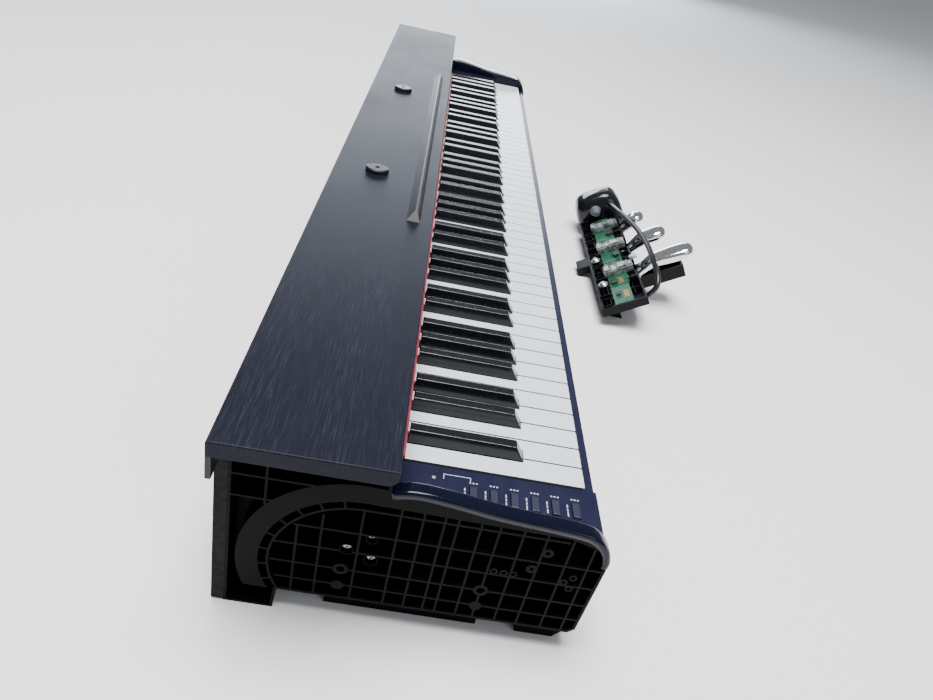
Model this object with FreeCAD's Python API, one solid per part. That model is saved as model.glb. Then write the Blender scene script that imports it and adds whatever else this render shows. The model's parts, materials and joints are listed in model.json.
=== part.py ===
import FreeCAD, Part
import math
import os

os.makedirs("parts", exist_ok=True)

# Console of an 88-key digital piano, lying on its own feet, with the pedal unit of its stand beside it.
# Millimetres. X runs from bass to treble, Y from the player to the back, Z up.
# The origin is under the middle of the case, on the floor.

# ---- driving dimensions: case -------------------------------------------------
CASE_HALF = 664.0            # outer face of each end frame
END_DEPTH = 24.0             # ribbed depth of an end frame
END_SKIN = 2.4               # web and flange thickness
RIB = 1.8
CASE_BACK = 136.4            # inner face of the back panel
BACK_T = 9.6
BOARD_HALF = 685.5           # the top board overhangs the case to cover the side boards of the stand
BOARD_FRONT = 21.0
BOARD_TOP = 185.5
BOARD_T = 13.0
BOARD_UNDER = BOARD_TOP - BOARD_T
BASE_Z = 23.0                # underside of the case, above its feet
BASE_T = 12.0
FACE_FRONT = -142.0          # front face of the key slip

# ---- driving dimensions: keyboard ----------------------------------------------
KEY_PITCH = 23.5
NATURALS = 52
KEY_X0 = -600.0
KEY_X1 = KEY_X0 + KEY_PITCH * NATURALS
KEY_FRONT = -132.0
KEY_TOP = 120.0
KEY_GAP = 1.0
HEAD_LENGTH = 50.0
HEAD_DEEP = 18.0
LIP = 2.0
KEY_FELT_Y = KEY_FRONT + 147.3
TAIL_STEP_Y = 24.0
KEY_REAR = 66.0
SHARP_W = 13.4
SHARP_TOP_W = 9.8
SHARP_RISE = 12.0
SHARP_SLOPE = 7.0
SHARP_CLEAR = 0.8
# the face of a sharp swings this way as it goes down, so it stands back from the white heads
SHARP_SET_BACK = 1.2
PIVOT_Y = 58.0
PIVOT_Z = 108.0
PIVOT_R = 3.0
# offset of each sharp from the boundary between its two naturals
SHARP_OFFSETS = {"c": -2.0, "d": 2.0, "f": -3.0, "g": 0.0, "a": 3.0}

# ---- driving dimensions: panel, cheeks, cover -----------------------------------
PANEL_Z = 118.5
PANEL_T = 4.0
SLIP_Z = 114.0
CREASE_X = -653.0            # inner upper edge of the left cheek
RIGHT_CHEEK_X = 623.2
TRIM_T = 5.0
BUTTON_X = -625.5
BUTTON_Y0 = -122.0
BUTTON_PITCH = 16.3
BUTTON_SIZE = (15.0, 6.3)
BUTTON_RISE = 1.5
GUIDE_Y = 39.0               # centre of the curved cover guide
GUIDE_Z = 58.0
GUIDE_OUT = 90.0
GUIDE_IN = 73.0
RING_OUT = 67.0
RING_IN = 65.0
COVER_Z = 153.0
COVER_T = 5.0
COVER_X0, COVER_X1 = -637.0, 621.0
LEAF = 78.0
LEAF_FRONT = 26.0
LEAF_HINGE_Y = LEAF_FRONT + LEAF + 2.0
LEAF_HANG = 75.0             # degrees below level when stowed

# ---- driving dimensions: pedal unit, underside up, leaning back on its rear edge -----
# Its own axes: x as for the case, v out towards the player, n away from the tray's floor.
LEAN = 32.0                  # degrees that v rises from the floor
UNIT_Y = -258.9              # where the tray's lower rear edge lies on the floor
TRAY_X0, TRAY_X1 = -128.0, 165.0
TRAY_WIDE = 66.0
TRAY_DEEP = 30.0
TRAY_WALL = 3.0
SHELF_X = -100.0             # the bass end of the tray is a shallow shelf
SHELF_N = 17.0
DECK_N = 26.0
HOOD_X1 = 232.0
HOOD_WIDE = 80.0
HOOD_TOP = 66.0
PEDAL_XS = {"pedal_right": -32.0, "pedal_middle": 46.0, "pedal_left": 121.0}
PEDAL_TIPS = {"pedal_right": 152.0, "pedal_middle": 127.0, "pedal_left": 106.0}
PEDAL_W = 26.0
PEDAL_PIVOT = (15.0, 14.0)
PEDAL_SLOT = PEDAL_W / 2 + 1.5
CABLE_R = 4.0

V = FreeCAD.Vector
X_AXIS, Y_AXIS, Z_AXIS = V(1, 0, 0), V(0, 1, 0), V(0, 0, 1)


def box(x0, x1, y0, y1, z0, z1):
    return Part.makeBox(x1 - x0, y1 - y0, z1 - z0, V(x0, y0, z0))


def rod_x(radius, x0, x1, y, z):
    return Part.makeCylinder(radius, x1 - x0, V(x0, y, z), X_AXIS)


def rod_y(radius, y0, y1, x, z):
    return Part.makeCylinder(radius, y1 - y0, V(x, y0, z), Y_AXIS)


def post(radius, z0, z1, x, y):
    return Part.makeCylinder(radius, z1 - z0, V(x, y, z0), Z_AXIS)


def prism_x(points, x0, x1):
    """Solid of a (y, z) polygon, drawn along X."""
    wire = Part.makePolygon([V(x0, y, z) for y, z in points + points[:1]])
    return Part.Face(wire).extrude(V(x1 - x0, 0, 0))


def fuse(shapes):
    return shapes[0].multiFuse(shapes[1:]).removeSplitter() if len(shapes) > 1 else shapes[0]


def mirror_x(shape):
    return shape.mirror(V(0, 0, 0), X_AXIS)


def save(name, *shapes):
    solids = [solid for shape in shapes for solid in shape.Solids]
    result = solids[0] if len(solids) == 1 else Part.makeCompound(solids)
    result.exportStep("parts/" + name + ".step")
    print(name, len(solids), round(sum(solid.Volume for solid in solids) / 1000.0, 1), "cc")


# ---- end frames -------------------------------------------------------------------

CROWN = [(23.0, 145.2), (4.0, 148.4), (-22.0, 146.0), (-58.0, 140.6), (-115.0, 135.6), (-131.0, 131.0)]


def crown_curve(x, drop):
    """The swept top line of a cheek, lowered by drop."""
    curve = Part.BSplineCurve()
    curve.interpolate([V(x, y, z - drop) for y, z in CROWN])
    return curve


def profile_face(x, drop):
    """Side outline of the case at x: rear foot, level base, upright nose, crown, and the board's seat."""
    curve = crown_curve(x, drop)
    nose_top = V(x, CROWN[-1][0], CROWN[-1][1] - drop)
    nose = Part.Arc(nose_top, V(x, -141.5, 121.0 - drop), V(x, -145.7, 104.0))
    corners = [(-145.7, 104.0), (-143.0, 28.0), (-138.0, BASE_Z), (96.0, BASE_Z), (98.0, 0.0),
               (CASE_BACK, 0.0), (CASE_BACK, BOARD_UNDER), (CROWN[0][0], BOARD_UNDER),
               (CROWN[0][0], CROWN[0][1] - drop)]
    edges = [curve.toShape(), nose.toShape()]
    for (y0, z0), (y1, z1) in zip(corners, corners[1:]):
        edges.append(Part.LineSegment(V(x, y0, z0), V(x, y1, z1)).toShape())
    return Part.Face(Part.Wire(Part.__sortEdges__(edges)))


def ring(outer, inner, x0, x1):
    """Quarter ring of the cover guide, open towards the front and the base."""
    band = rod_x(outer, x0, x1, GUIDE_Y, GUIDE_Z).cut(rod_x(inner, x0, x1, GUIDE_Y, GUIDE_Z))
    keep = box(x0, x1, GUIDE_Y, GUIDE_Y + outer, BASE_Z, GUIDE_Z + outer)
    return band.common(keep)


def left_end_frame():
    """Moulded end: flat web, flange all round, ribs, bosses and the flush cover guide."""
    x0, x1 = -CASE_HALF, -CASE_HALF + END_DEPTH
    web_x = x1 - END_SKIN
    outline = profile_face(x0, TRIM_T)
    body = outline.extrude(V(END_DEPTH, 0, 0))
    inner = outline.makeOffset2D(-END_SKIN).extrude(V(END_DEPTH - END_SKIN, 0, 0))
    frame = body.cut(inner)

    pieces = [ring(GUIDE_OUT, GUIDE_IN, x0, x1), ring(RING_OUT, RING_IN, x0, x1)]
    pieces.append(prism_x([(GUIDE_Y, GUIDE_Z + GUIDE_IN), (GUIDE_Y, GUIDE_Z + GUIDE_OUT), (-145.0, 140.0),
                           (-145.0, 118.0), (-112.0, 128.0)], x0, x1))
    pieces.append(box(x0, x1, -112.0, GUIDE_Y, GUIDE_Z + RING_IN, GUIDE_Z + RING_OUT))
    for angle in range(-20, 90, 14):
        spoke = box(x0, x1, GUIDE_Y + RING_OUT - 1, GUIDE_Y + GUIDE_IN + 1, GUIDE_Z - RIB / 2, GUIDE_Z + RIB / 2)
        spoke.rotate(V(0, GUIDE_Y, GUIDE_Z), X_AXIS, angle)
        pieces.append(spoke)

    cell_tops = GUIDE_Z + GUIDE_IN + 1
    ring_top = GUIDE_Z + RING_IN + 1
    for y in (12.8, -3.5, -18.9, -28.6, -45.4, -59.3, -77.1, -94.8):
        pieces.append(box(x0, x1, y - RIB / 2, y + RIB / 2, BASE_Z + 1, cell_tops))
    for y, top in ((39.2, ring_top), (67.5, 114.0), (85.2, 100.0), (-114.6, 128.0), (-131.7, 124.0)):
        pieces.append(box(x0, x1, y - RIB / 2, y + RIB / 2, BASE_Z + 1, top))
    pieces.append(box(x0, x1, 109.7 - RIB / 2, 109.7 + RIB / 2, 114.0, BOARD_UNDER))
    for z, y0, y1 in ((39.3, -143.0, 99.0), (57.5, -144.0, 103.0), (78.0, -144.0, 101.0),
                      (98.7, -144.0, 88.0), (119.1, 104.0, CASE_BACK), (140.0, 76.0, CASE_BACK),
                      (157.0, 24.0, CASE_BACK)):
        pieces.append(box(x0, x1, y0, y1, z - RIB / 2, z + RIB / 2))
    for y, z, radius in ((49.4, 57.5, 6.0), (-59.4, 57.5, 6.0), (50.0, 38.5, 5.0), (-59.2, 38.5, 5.0),
                         (28.3, 72.2, 5.5), (47.3, 80.5, 5.5), (30.1, 94.7, 4.5), (-91.4, 90.4, 4.5),
                         (-98.8, 109.8, 4.5), (-64.3, 81.4, 3.2), (-72.0, 81.4, 3.2), (-79.3, 81.4, 3.2),
                         (-118.5, 81.4, 3.2), (-124.4, 87.3, 3.2), (-124.4, 74.7, 3.2)):
        pieces.append(rod_x(radius, x0, x1, y, z))
    frame = fuse([frame] + [piece.common(body) for piece in pieces])

    for y, z in ((49.4, 57.5), (-59.4, 57.5)):
        frame = frame.cut(rod_x(3.2, x0, x0 + 18.0, y, z))
    for y, z in ((28.3, 72.2), (47.3, 80.5), (30.1, 94.7)):
        frame = frame.cut(rod_x(5.0 if y < 29 or y > 47 else 4.0, x0, x0 + 6.0, y, z))
    for y, z in ((-91.4, 90.4), (-98.8, 109.8), (-64.3, 81.4), (-72.0, 81.4), (-79.3, 81.4),
                 (-118.5, 81.4), (-124.4, 87.3), (-124.4, 74.7)):
        frame = frame.cut(rod_x(1.7, x0, x0 + 14.0, y, z))

    skid = prism_x([(-67.0, 0.0), (59.0, 0.0), (59.0, BASE_Z), (-67.0, BASE_Z)], x0 + 12.0, x1)
    foot = prism_x([(-132.0, 0.0), (-100.0, 0.0), (-98.0, BASE_Z), (-138.0, BASE_Z), (-138.0, 8.0)],
                   x0 + 11.0, x1)
    return fuse([frame, skid, foot])


def left_cheek():
    """Gloss trim over the bass end: crown strip, inner wall and the cove that dies out forwards."""
    x0, x1 = -CASE_HALF, CREASE_X + 2.0
    upper = profile_face(x0, 0.0).extrude(V(x1 - x0, 0, 0))
    lower = profile_face(x0, TRIM_T).extrude(V(x1 - x0, 0, 0))
    crown = upper.cut(lower)
    wall = upper.common(box(CREASE_X - 1.0, x1, -142.0, CROWN[0][0], PANEL_Z - PANEL_T, 150.0))
    wall = wall.cut(box(x0, -CASE_HALF + END_DEPTH, -150.0, 30.0, 0.0, PANEL_Z - PANEL_T))
    rear = [V(x1 - 1, 23, 147), V(x1 - 1, 23, PANEL_Z), V(x1 + 17, 23, PANEL_Z), V(x1 - 1, 23, 147)]
    front = [V(x1 - 1, -45, 142), V(x1 - 1, -45, PANEL_Z), V(x1 + 0.6, -45, PANEL_Z), V(x1 - 1, -45, 142)]
    cove = Part.makeLoft([Part.makePolygon(rear), Part.makePolygon(front)], True, True)
    return fuse([crown.Solids[0], wall.Solids[0], cove])


def right_cheek():
    x0, x1 = RIGHT_CHEEK_X, CASE_HALF
    upper = profile_face(x0, 0.0).extrude(V(x1 - x0, 0, 0))
    lower = profile_face(x0, TRIM_T).extrude(V(x1 - x0, 0, 0))
    crown = upper.cut(lower)
    wall = upper.common(box(x0, x0 + 3.0, -142.0, CROWN[0][0], 96.0, 150.0))
    return fuse([crown.Solids[0], wall.Solids[0]])


end_frame = left_end_frame()
cheek_left = left_cheek()
cheek_right = right_cheek()
panel_clearance = box(CREASE_X + 2.0, -CASE_HALF + END_DEPTH + 1.0, -150.0, CROWN[0][0], PANEL_Z - PANEL_T, 160.0)
frame_left = end_frame.cut(cheek_left).cut(panel_clearance)
frame_right = mirror_x(end_frame.copy()).cut(cheek_right)
save("left_end_frame", max(frame_left.Solids, key=lambda solid: solid.Volume))
save("right_end_frame", max(frame_right.Solids, key=lambda solid: solid.Volume))
save("left_cheek", cheek_left)
save("right_cheek", cheek_right)

# ---- top board and what is on it ----------------------------------------------------


def top_board():
    board = box(-BOARD_HALF, BOARD_HALF, BOARD_FRONT, CASE_BACK + BACK_T, BOARD_UNDER, BOARD_TOP)
    lower = [e for e in board.Edges if all(abs(v.Y - BOARD_FRONT) < 0.01 and v.Z < BOARD_UNDER + 0.01
                                           for v in e.Vertexes)]
    board = board.makeFillet(8.0, lower)
    upper = [e for e in board.Edges if all(v.Z > BOARD_TOP - 0.01 for v in e.Vertexes)]
    board = board.makeFillet(1.2, upper)
    for x in (-SOCKET_X, SOCKET_X):
        board = board.cut(post(3.0, BOARD_TOP - 10.0, BOARD_TOP + 1, x, SOCKET_Y))
    return board


SOCKET_X = 183.0
SOCKET_Y = 95.0
LEDGE_HALF = 305.0
LEDGE_Y = 42.0
LEDGE_W = 15.0
LEDGE_H = 9.0
save("top_board", top_board())

ledge_base = [V(-LEDGE_HALF, LEDGE_Y - LEDGE_W / 2, BOARD_TOP), V(LEDGE_HALF, LEDGE_Y - LEDGE_W / 2, BOARD_TOP),
              V(LEDGE_HALF, LEDGE_Y + LEDGE_W / 2, BOARD_TOP), V(-LEDGE_HALF, LEDGE_Y + LEDGE_W / 2, BOARD_TOP)]
ledge_top = [V(-LEDGE_HALF + 9, LEDGE_Y - 2.4, BOARD_TOP + LEDGE_H), V(LEDGE_HALF - 9, LEDGE_Y - 2.4,
                                                                     BOARD_TOP + LEDGE_H),
             V(LEDGE_HALF - 9, LEDGE_Y - 0.6, BOARD_TOP + LEDGE_H), V(-LEDGE_HALF + 9, LEDGE_Y - 0.6,
                                                                     BOARD_TOP + LEDGE_H)]
save("score_ledge", Part.makeLoft([Part.makePolygon(ledge_base + ledge_base[:1]),
                                   Part.makePolygon(ledge_top + ledge_top[:1])], True, True))


def rest_socket(x):
    """Low oval boss, long from front to back, with the hole for a pin of the music rest."""
    oval = Part.Ellipse(V(0, 0, 0), 14.0, 12.0)
    solid = Part.Face(Part.Wire(oval.toShape())).extrude(V(0, 0, 5.0))
    solid.rotate(V(0, 0, 0), Z_AXIS, 90)
    solid.translate(V(x, SOCKET_Y, BOARD_TOP))
    top = [e for e in solid.Edges if all(v.Z > BOARD_TOP + 4.9 for v in e.Vertexes)]
    solid = solid.makeFillet(2.0, top)
    return solid.cut(post(3.0, BOARD_TOP - 1, BOARD_TOP + 6, x, SOCKET_Y))


save("rest_sockets", rest_socket(-SOCKET_X), rest_socket(SOCKET_X))

hook_y1 = CASE_BACK + BACK_T
hook = box(-BOARD_HALF, -BOARD_HALF + 18.0, hook_y1 - 4.0, hook_y1, BOARD_UNDER - 19.5, BOARD_UNDER)
save("board_hooks", hook, mirror_x(hook))

# ---- case panels -----------------------------------------------------------------------

save("back_panel", box(-CASE_HALF, CASE_HALF, CASE_BACK, CASE_BACK + BACK_T, 1.5, BOARD_UNDER))

INNER_HALF = CASE_HALF - END_DEPTH
SPEAKER_X = 430.0
SPEAKER_Y = -20.0
base = box(-INNER_HALF, INNER_HALF, FACE_FRONT + 3.0, CASE_BACK, BASE_Z, BASE_Z + BASE_T)
for x in (-SPEAKER_X, SPEAKER_X):
    base = base.cut(post(56.0, BASE_Z - 1, BASE_Z + BASE_T + 1, x, SPEAKER_Y))
save("bottom_panel", base)

slip_lip_y = KEY_FRONT - 1.2
slip_x1 = RIGHT_CHEEK_X - 0.2
slip = fuse([box(-INNER_HALF, INNER_HALF, FACE_FRONT, FACE_FRONT + 3.0, BASE_Z, 95.0),
             box(CREASE_X + 2.2, slip_x1, FACE_FRONT, FACE_FRONT + 3.0, 94.0, SLIP_Z),
             box(KEY_X0 - 0.6, slip_x1, FACE_FRONT, slip_lip_y, SLIP_Z - 3.5, SLIP_Z)])
slip_edge = [e for e in slip.Edges if all(v.Z > SLIP_Z - 0.01 and v.Y < FACE_FRONT + 0.01 for v in e.Vertexes)]
slip = slip.makeFillet(2.0, slip_edge).cut(frame_left)
save("front_rail", max(slip.Solids, key=lambda solid: solid.Volume))


def button_y(index):
    return BUTTON_Y0 + BUTTON_PITCH * index


POWER_X, POWER_Y = -634.0, -24.0
LAMP_X, LAMP_Y = -614.0, -9.0


def control_panel():
    panel = box(CREASE_X + 2.2, KEY_X0 - 0.8, FACE_FRONT, CROWN[0][0], PANEL_Z - PANEL_T, PANEL_Z)
    panel = panel.cut(cheek_left).cut(frame_left)
    panel = max(panel.Solids, key=lambda solid: solid.Volume)
    front = [e for e in panel.Edges if all(v.Z > PANEL_Z - 0.01 and v.Y < FACE_FRONT + 0.01 for v in e.Vertexes)]
    panel = panel.makeFillet(2.0, front)
    half_x, half_y = BUTTON_SIZE[0] / 2 + 0.4, BUTTON_SIZE[1] / 2 + 0.4
    for index in range(6):
        y = button_y(index)
        panel = panel.cut(box(BUTTON_X - half_x, BUTTON_X + half_x, y - half_y, y + half_y, 100.0, 130.0))
    panel = panel.cut(post(4.4, 100.0, 130.0, POWER_X, POWER_Y))
    return panel.cut(post(1.5, 100.0, 130.0, LAMP_X, LAMP_Y))


save("control_panel", control_panel())
save("power_lamp", post(1.5, PANEL_Z - PANEL_T, PANEL_Z + 0.6, LAMP_X, LAMP_Y))

for index in range(6):
    y = button_y(index)
    half_x, half_y = BUTTON_SIZE[0] / 2, BUTTON_SIZE[1] / 2
    cap = box(BUTTON_X - half_x, BUTTON_X + half_x, y - half_y, y + half_y, 112.5, PANEL_Z + BUTTON_RISE)
    rim = [e for e in cap.Edges if all(v.Z > PANEL_Z for v in e.Vertexes)]
    cap = cap.makeFillet(0.8, rim)
    stop = box(BUTTON_X - half_x - 1.5, BUTTON_X + half_x + 1.5, y - half_y - 1.5, y + half_y + 1.5, 111.5, 113.0)
    save("button_%d" % (index + 1), fuse([cap, stop]))
save("power_button", fuse([post(4.0, 112.5, PANEL_Z + BUTTON_RISE, POWER_X, POWER_Y),
                           post(5.5, 111.5, 113.0, POWER_X, POWER_Y)]))
save("button_board", box(-638.0, -606.0, -136.0, 15.0, 105.0, 106.6))

# ---- keyboard ---------------------------------------------------------------------------

LETTERS = ("a", "b", "c", "d", "e", "f", "g")


def natural_letter(index):
    return LETTERS[index % 7]


def natural_octave(index):
    return (index + 5) // 7


def sharp_after(index):
    """Centre of the sharp between this natural and the next, or None."""
    offset = SHARP_OFFSETS.get(natural_letter(index))
    if offset is None or not 0 <= index < NATURALS - 1:
        return None
    return KEY_X0 + KEY_PITCH * (index + 1) + offset


def pivot_notch(x0, x1):
    """Slot under a key's tail that sits over the pivot rod."""
    r = PIVOT_R + 0.5
    return rod_x(r, x0, x1, PIVOT_Y, PIVOT_Z).fuse(box(x0, x1, PIVOT_Y - r, PIVOT_Y + r, 90.0, PIVOT_Z))


def natural_key(index):
    x0 = KEY_X0 + KEY_PITCH * index + KEY_GAP / 2
    x1 = x0 + KEY_PITCH - KEY_GAP
    low, high = sharp_after(index - 1), sharp_after(index)
    tail_x0 = x0 if low is None else low + SHARP_W / 2 + SHARP_CLEAR
    tail_x1 = x1 if high is None else high - SHARP_W / 2 - SHARP_CLEAR
    y1 = KEY_FRONT + HEAD_LENGTH
    corner = box(x0, x1, KEY_FRONT, y1, KEY_TOP - 4.0, KEY_TOP)
    edges = [e for e in corner.Edges if abs(e.Length - 4.0) < 0.01 and e.Vertexes[0].Y < KEY_FRONT + 0.01]
    plate = corner.makeFillet(1.6, edges)
    key = fuse([plate, box(x0, x1, KEY_FRONT + LIP, y1, KEY_TOP - HEAD_DEEP, KEY_TOP - 4.0),
                box(tail_x0, tail_x1, y1, TAIL_STEP_Y, 106.0, KEY_TOP)])
    rim = [e for e in key.Edges if all(v.Z > KEY_TOP - 0.01 for v in e.Vertexes)]
    key = key.makeFillet(0.7, rim)
    tail = box(tail_x0, tail_x1, TAIL_STEP_Y, KEY_REAR, 102.0, 114.0)
    return fuse([key, tail.cut(pivot_notch(x0 - 20, x1 + 20))])


def sharp_key(centre):
    half, top_half = SHARP_W / 2, SHARP_TOP_W / 2
    y0, y1 = KEY_FRONT + HEAD_LENGTH + SHARP_SET_BACK, KEY_FELT_Y - 0.8
    foot_z, top_z = KEY_TOP + 1.0, KEY_TOP + SHARP_RISE

    def outline(y_front, half_width, z):
        corners = [(centre - half_width, y_front), (centre + half_width, y_front),
                   (centre + half_width, y1), (centre - half_width, y1)]
        return Part.makePolygon([V(x, y, z) for x, y in corners + corners[:1]])

    stick = Part.makeLoft([outline(y0, half, foot_z), outline(y0 + SHARP_SLOPE, top_half, top_z)], True, True)
    rim = [e for e in stick.Edges if all(v.Z > top_z - 0.01 for v in e.Vertexes)]
    rim += [e for e in stick.Edges if e.Vertexes[0].Y < y0 + SHARP_SLOPE + 0.1
            and abs(e.Vertexes[0].Z - e.Vertexes[1].Z) > 5 and e.Vertexes[1].Y < y0 + SHARP_SLOPE + 0.1]
    stick = stick.makeFillet(1.1, rim)
    key = fuse([stick, box(centre - half, centre + half, y0 + 0.8, y1, 108.0, foot_z),
                box(centre - 5.5, centre + 5.5, y1, TAIL_STEP_Y, 106.0, 119.0)])
    tail = box(centre - 5.5, centre + 5.5, TAIL_STEP_Y, KEY_REAR, 102.0, 114.0)
    return fuse([key, tail.cut(pivot_notch(centre - 20, centre + 20))])


groups = {"naturals_low": [], "sharps_low": [], "naturals_high": [], "sharps_high": []}
for index in range(NATURALS):
    letter, octave = natural_letter(index), natural_octave(index)
    centre = sharp_after(index)
    if octave == 4:
        save("key_%s4" % letter, natural_key(index))
        if centre is not None:
            save("key_%s4_sharp" % letter, sharp_key(centre))
        continue
    side = "low" if octave < 4 else "high"
    groups["naturals_" + side].append(natural_key(index))
    if centre is not None:
        groups["sharps_" + side].append(sharp_key(centre))
for name, keys in groups.items():
    save(name, *keys)

bed_x0, bed_x1 = KEY_X0 - 6.0, KEY_X1 + 0.8
bed = [box(bed_x0, bed_x1, -136.0, 100.0, 78.0, 80.5), box(bed_x0, bed_x1, -136.0, -133.5, 35.0, 78.0),
       box(bed_x0, bed_x1, 97.5, 100.0, 35.0, 78.0),
       box(bed_x0, bed_x1, PIVOT_Y - 1.0, PIVOT_Y + 1.0, 80.5, PIVOT_Z - PIVOT_R),
       box(bed_x0, bed_x1, -126.0, -119.0, 80.5, 85.0)]
for step in range(9):
    x = -560.0 + step * 140.0
    bed += [post(3.0, 80.5, 84.0, x, -56.0), post(3.0, 80.5, 84.0, x, -26.0)]
save("key_bed", fuse(bed))
save("key_pivot_rod", rod_x(PIVOT_R, bed_x0, bed_x1, PIVOT_Y, PIVOT_Z))
save("sensor_board", box(-590.0, 612.0, -62.0, -20.0, 84.0, 85.6))
save("key_felt", box(KEY_X0, KEY_X1, KEY_FELT_Y, KEY_FELT_Y + 3.5, 120.6, 123.2))
save("name_rail", fuse([box(-INNER_HALF + 1, INNER_HALF - 1, 18.8, 23.0, 123.2, 130.0),
                        box(KEY_X0, KEY_X1, KEY_FELT_Y + 3.5, 23.0, 120.6, 123.6)]).cut(cheek_left).cut(cheek_right))

# ---- key cover -----------------------------------------------------------------------------

grip = box(COVER_X0, COVER_X1, LEAF_FRONT, LEAF_FRONT + 5.0, COVER_Z - COVER_T / 2, COVER_Z + 9.0)
front_leaf = fuse([box(COVER_X0, COVER_X1, LEAF_FRONT, LEAF_FRONT + LEAF,
                       COVER_Z - COVER_T / 2, COVER_Z + COVER_T / 2), grip])
save("cover_front_leaf", front_leaf)
rear_leaf = box(COVER_X0, COVER_X1, LEAF_HINGE_Y + 3.0, LEAF_HINGE_Y + LEAF,
                COVER_Z - COVER_T / 2, COVER_Z + COVER_T / 2)
rear_leaf.rotate(V(0, LEAF_HINGE_Y, COVER_Z), X_AXIS, -LEAF_HANG)
save("cover_rear_leaf", rear_leaf)

# ---- electronics, speakers, sockets, feet ------------------------------------------------------


def speaker(x):
    z = BASE_Z + BASE_T
    flange = post(66.0, z, z + 3.0, x, SPEAKER_Y).cut(post(52.0, z - 1, z + 4.0, x, SPEAKER_Y))
    cone = Part.makeCone(54.0, 24.0, 22.0, V(x, SPEAKER_Y, z + 3.0), Z_AXIS)
    hollow = Part.makeCone(52.0, 22.0, 22.0, V(x, SPEAKER_Y, z + 1.4), Z_AXIS)
    magnet = post(34.0, z + 24.0, z + 38.0, x, SPEAKER_Y)
    return fuse([flange, cone.cut(hollow), magnet])


save("left_speaker", speaker(-SPEAKER_X))
save("right_speaker", speaker(SPEAKER_X))

board_z = BASE_Z + BASE_T + 6.0
spacers = [post(3.5, board_z - 6.0, board_z, x, y) for x in (-240.0, -60.0) for y in (10.0, 80.0)]
save("main_board", box(-250.0, -50.0, 0.0, 90.0, board_z, board_z + 1.6), *spacers)

jacks = box(-620.0, -556.0, FACE_FRONT + 4.0, -98.0, 5.0, BASE_Z)
for x in (-604.0, -572.0):
    jacks = jacks.cut(rod_y(3.25, FACE_FRONT, FACE_FRONT + 26.0, x, 14.0))
save("jack_box", jacks)

sockets = box(-120.0, -40.0, 100.0, 132.0, 7.0, BASE_Z)
sockets = sockets.cut(post(2.8, 0.0, 16.0, -104.0, 116.0)).cut(box(-80.0, -60.0, 110.0, 120.0, 0.0, 17.0))
save("rear_sockets", sockets)

feet = [Part.makeCone(11.0, 14.0, BASE_Z, V(x, y, 0), Z_AXIS) for x in (-300.0, 300.0) for y in (-100.0, 100.0)]
save("support_feet", Part.makeCone(11.0, 14.0, BASE_Z, V(0, 0, 0), Z_AXIS), *feet)


def case_screw(y, z, radius):
    """Pan-head screw seated in a boss of the bass end frame, with a cross recess."""
    seat = -CASE_HALF + 6.0
    head = Part.makeCone(radius * 0.7, radius, 1.6, V(seat - 2.6, y, z), X_AXIS)
    head = head.fuse(rod_x(radius, seat - 1.0, seat, y, z))
    for angle in (0, 90):
        bar = box(seat - 3.0, seat - 1.4, y - radius * 0.6, y + radius * 0.6, z - 0.6, z + 0.6)
        bar.rotate(V(seat, y, z), X_AXIS, angle + 20)
        head = head.cut(bar)
    return head


screws = [case_screw(28.3, 72.2, 4.2), case_screw(47.3, 80.5, 4.2), case_screw(30.1, 94.7, 3.4)]
save("end_screws", *(screws + [mirror_x(screw) for screw in screws]))

# ---- pedal unit -----------------------------------------------------------------------------------


def slab(x0, x1, v0, v1, n0, n1):
    """Block in the pedal unit's own axes."""
    return box(x0, x1, -v1, -v0, n0, n1)


def lean(shape):
    """From the pedal unit's own axes to where it lies."""
    shape.rotate(V(0, 0, 0), X_AXIS, -LEAN)
    shape.translate(V(0, UNIT_Y, 0))
    return shape


def floor_wedge(x0, x1, wide):
    """Keel whose underside is level once the unit leans."""
    return prism_x([(0.0, 0.0), (-wide, 0.0), (-wide, -wide * math.tan(math.radians(LEAN)))], x0, x1)


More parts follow.
